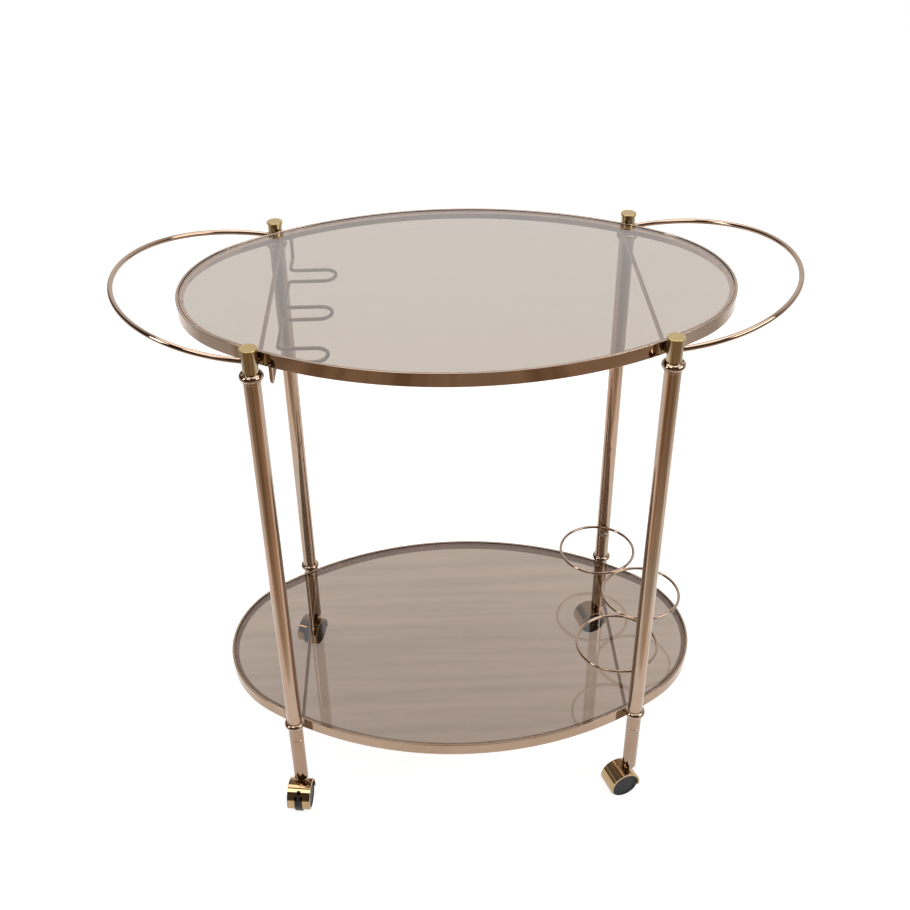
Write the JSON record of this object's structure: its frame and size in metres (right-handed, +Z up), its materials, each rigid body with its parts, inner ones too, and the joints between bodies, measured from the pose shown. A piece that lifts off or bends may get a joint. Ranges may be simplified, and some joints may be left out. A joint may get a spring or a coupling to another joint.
{
  "type": "bar cart",
  "caption": "Oval bar cart: glass shelves in brass rims between tubular legs, with loop handles, a stemware hanger, bottle rings and hooded swivel casters.",
  "frame": {"origin": "floor level, under the middle of the shelves", "axes": "+X along the cart to the end with the bottle rings, +Y to the rear, +Z up"},
  "size_m": [0.797, 0.4166, 0.7278],
  "materials": {
    "polished_brass": "polished",
    "hood_brass": "polished",
    "head_brass": "polished",
    "gold_cap": "satin",
    "bronze_glass": "polished tinted",
    "clear_pad": "soft clear",
    "nickel_screw": "polished",
    "steel": "plated",
    "dark_plastic": "matte",
    "wheel_plastic": "smooth"
  },
  "bodies": {
    "cart": {"top_rim": "polished_brass", "lower_rim": "polished_brass", "upper_rim_spacers": "polished_brass", "lower_rim_spacers": "polished_brass", "upper_brace_left": "polished_brass", "upper_brace_right": "polished_brass", "lower_brace_left": "polished_brass", "lower_brace_right": "polished_brass", "handle_left": "polished_brass", "handle_right": "polished_brass", "glass_hanger_rear": "polished_brass", "glass_hanger_middle": "polished_brass", "glass_hanger_front": "polished_brass", "bottle_rings": "polished_brass", "upper_collars": "polished_brass", "lower_collars": "polished_brass", "joint_sleeves": "polished_brass", "top_glass": "bronze_glass", "lower_glass": "bronze_glass", "glass_pads": "clear_pad", "leg_caps": "gold_cap", "ring_screws": "nickel_screw", "tie_rods": "steel", "tie_rod_nuts": "steel", "caster_sockets": "steel", "leg_tube_fl": "polished_brass", "foot_tube_fl": "polished_brass", "leg_heads": "head_brass", "leg_tube_fr": "polished_brass", "foot_tube_fr": "polished_brass", "leg_tube_rl": "polished_brass", "foot_tube_rl": "polished_brass", "leg_tube_rr": "polished_brass", "foot_tube_rr": "polished_brass"},
    "caster_fl": {"caster_hood_fl": "hood_brass", "caster_frame_fl": "dark_plastic", "caster_stem_fl": "steel", "caster_axle_fl": "steel"},
    "brake_lever_fl": {"brake_lever_fl": "dark_plastic"},
    "wheel_a_fl": {"wheel_a_fl": "wheel_plastic"},
    "wheel_b_fl": {"wheel_b_fl": "wheel_plastic"},
    "caster_fr": {"caster_hood_fr": "hood_brass", "caster_frame_fr": "dark_plastic", "caster_stem_fr": "steel", "caster_axle_fr": "steel"},
    "wheel_a_fr": {"wheel_a_fr": "wheel_plastic"},
    "wheel_b_fr": {"wheel_b_fr": "wheel_plastic"},
    "caster_rl": {"caster_hood_rl": "hood_brass", "caster_frame_rl": "dark_plastic", "caster_stem_rl": "steel", "caster_axle_rl": "steel"},
    "brake_lever_rl": {"brake_lever_rl": "dark_plastic"},
    "wheel_a_rl": {"wheel_a_rl": "wheel_plastic"},
    "wheel_b_rl": {"wheel_b_rl": "wheel_plastic"},
    "caster_rr": {"caster_hood_rr": "hood_brass", "caster_frame_rr": "dark_plastic", "caster_stem_rr": "steel", "caster_axle_rr": "steel"},
    "wheel_a_rr": {"wheel_a_rr": "wheel_plastic"},
    "wheel_b_rr": {"wheel_b_rr": "wheel_plastic"}
  },
  "joints": [
    {"name": "swivel_fl", "type": "hinge", "parent": "cart", "child": "caster_fl", "pos_m": [-0.225, -0.16047, 0.045], "axis": [0, 0, 1], "continuous": true},
    {"name": "brake_fl", "type": "hinge", "parent": "caster_fl", "child": "brake_lever_fl", "pos_m": [-0.2264, -0.17189, 0.02], "axis": [-0.9925, 0.1219, 0], "range_deg": [0, 12]},
    {"name": "spin_a_fl", "type": "hinge", "parent": "caster_fl", "child": "wheel_a_fl", "pos_m": [-0.2264, -0.17189, 0.02], "axis": [0.9925, -0.1219, 0], "continuous": true},
    {"name": "spin_b_fl", "type": "hinge", "parent": "caster_fl", "child": "wheel_b_fl", "pos_m": [-0.2264, -0.17189, 0.02], "axis": [0.9925, -0.1219, 0], "continuous": true},
    {"name": "swivel_fr", "type": "hinge", "parent": "cart", "child": "caster_fr", "pos_m": [0.225, -0.16047, 0.045], "axis": [0, 0, 1], "continuous": true},
    {"name": "spin_a_fr", "type": "hinge", "parent": "caster_fr", "child": "wheel_a_fr", "pos_m": [0.21419, -0.1644, 0.02], "axis": [0.342, -0.9397, 0], "continuous": true},
    {"name": "spin_b_fr", "type": "hinge", "parent": "caster_fr", "child": "wheel_b_fr", "pos_m": [0.21419, -0.1644, 0.02], "axis": [0.342, -0.9397, 0], "continuous": true},
    {"name": "swivel_rl", "type": "hinge", "parent": "cart", "child": "caster_rl", "pos_m": [-0.225, 0.16047, 0.045], "axis": [0, 0, 1], "continuous": true},
    {"name": "brake_rl", "type": "hinge", "parent": "caster_rl", "child": "brake_lever_rl", "pos_m": [-0.22949, 0.14989, 0.02], "axis": [-0.9205, 0.3907, 0], "range_deg": [0, 12]},
    {"name": "spin_a_rl", "type": "hinge", "parent": "caster_rl", "child": "wheel_a_rl", "pos_m": [-0.22949, 0.14989, 0.02], "axis": [0.9205, -0.3907, 0], "continuous": true},
    {"name": "spin_b_rl", "type": "hinge", "parent": "caster_rl", "child": "wheel_b_rl", "pos_m": [-0.22949, 0.14989, 0.02], "axis": [0.9205, -0.3907, 0], "continuous": true},
    {"name": "swivel_rr", "type": "hinge", "parent": "cart", "child": "caster_rr", "pos_m": [0.225, 0.16047, 0.045], "axis": [0, 0, 1], "continuous": true},
    {"name": "spin_a_rr", "type": "hinge", "parent": "caster_rr", "child": "wheel_a_rr", "pos_m": [0.21389, 0.1575, 0.02], "axis": [0.2588, -0.9659, 0], "continuous": true},
    {"name": "spin_b_rr", "type": "hinge", "parent": "caster_rr", "child": "wheel_b_rr", "pos_m": [0.21389, 0.1575, 0.02], "axis": [0.2588, -0.9659, 0], "continuous": true}
  ]
}
